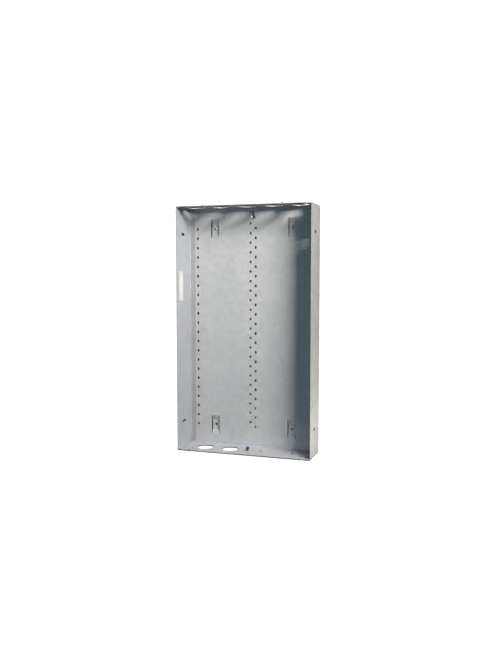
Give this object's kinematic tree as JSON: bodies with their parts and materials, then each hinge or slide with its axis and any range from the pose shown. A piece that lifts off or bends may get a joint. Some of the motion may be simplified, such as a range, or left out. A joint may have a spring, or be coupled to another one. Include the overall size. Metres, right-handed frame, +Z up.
{
  "type": "panel enclosure box",
  "caption": "Open-fronted sheet-steel wall box with round cable openings, columns of equipment holes, pressed rear mounting feet and a ground screw.",
  "frame": {"origin": "under the middle of the box, on the surface that it stands on", "axes": "+Z up, +X to the right as seen from the open front, which faces -Y; +Y towards the wall"},
  "size_m": [0.362, 0.1012, 0.6474],
  "materials": {
    "galvanised_steel": "galvanised, dull, with a faint spangle",
    "zinc_plated_steel": "zinc plated, satin",
    "ground_screw": "dark green coated steel",
    "label": "blank white paper-faced film"
  },
  "bodies": {
    "root": {"back_panel": "galvanised_steel", "left_side_wall": "galvanised_steel", "right_side_wall": "galvanised_steel", "top_end_wall": "galvanised_steel", "bottom_end_wall": "galvanised_steel", "inner_knockout_slug": "galvanised_steel", "outer_knockout_slug": "galvanised_steel", "upper_cover_nuts": "zinc_plated_steel", "lower_cover_nuts": "zinc_plated_steel", "ground_screw": "ground_screw", "rating_label": "label"}
  },
  "joints": []
}
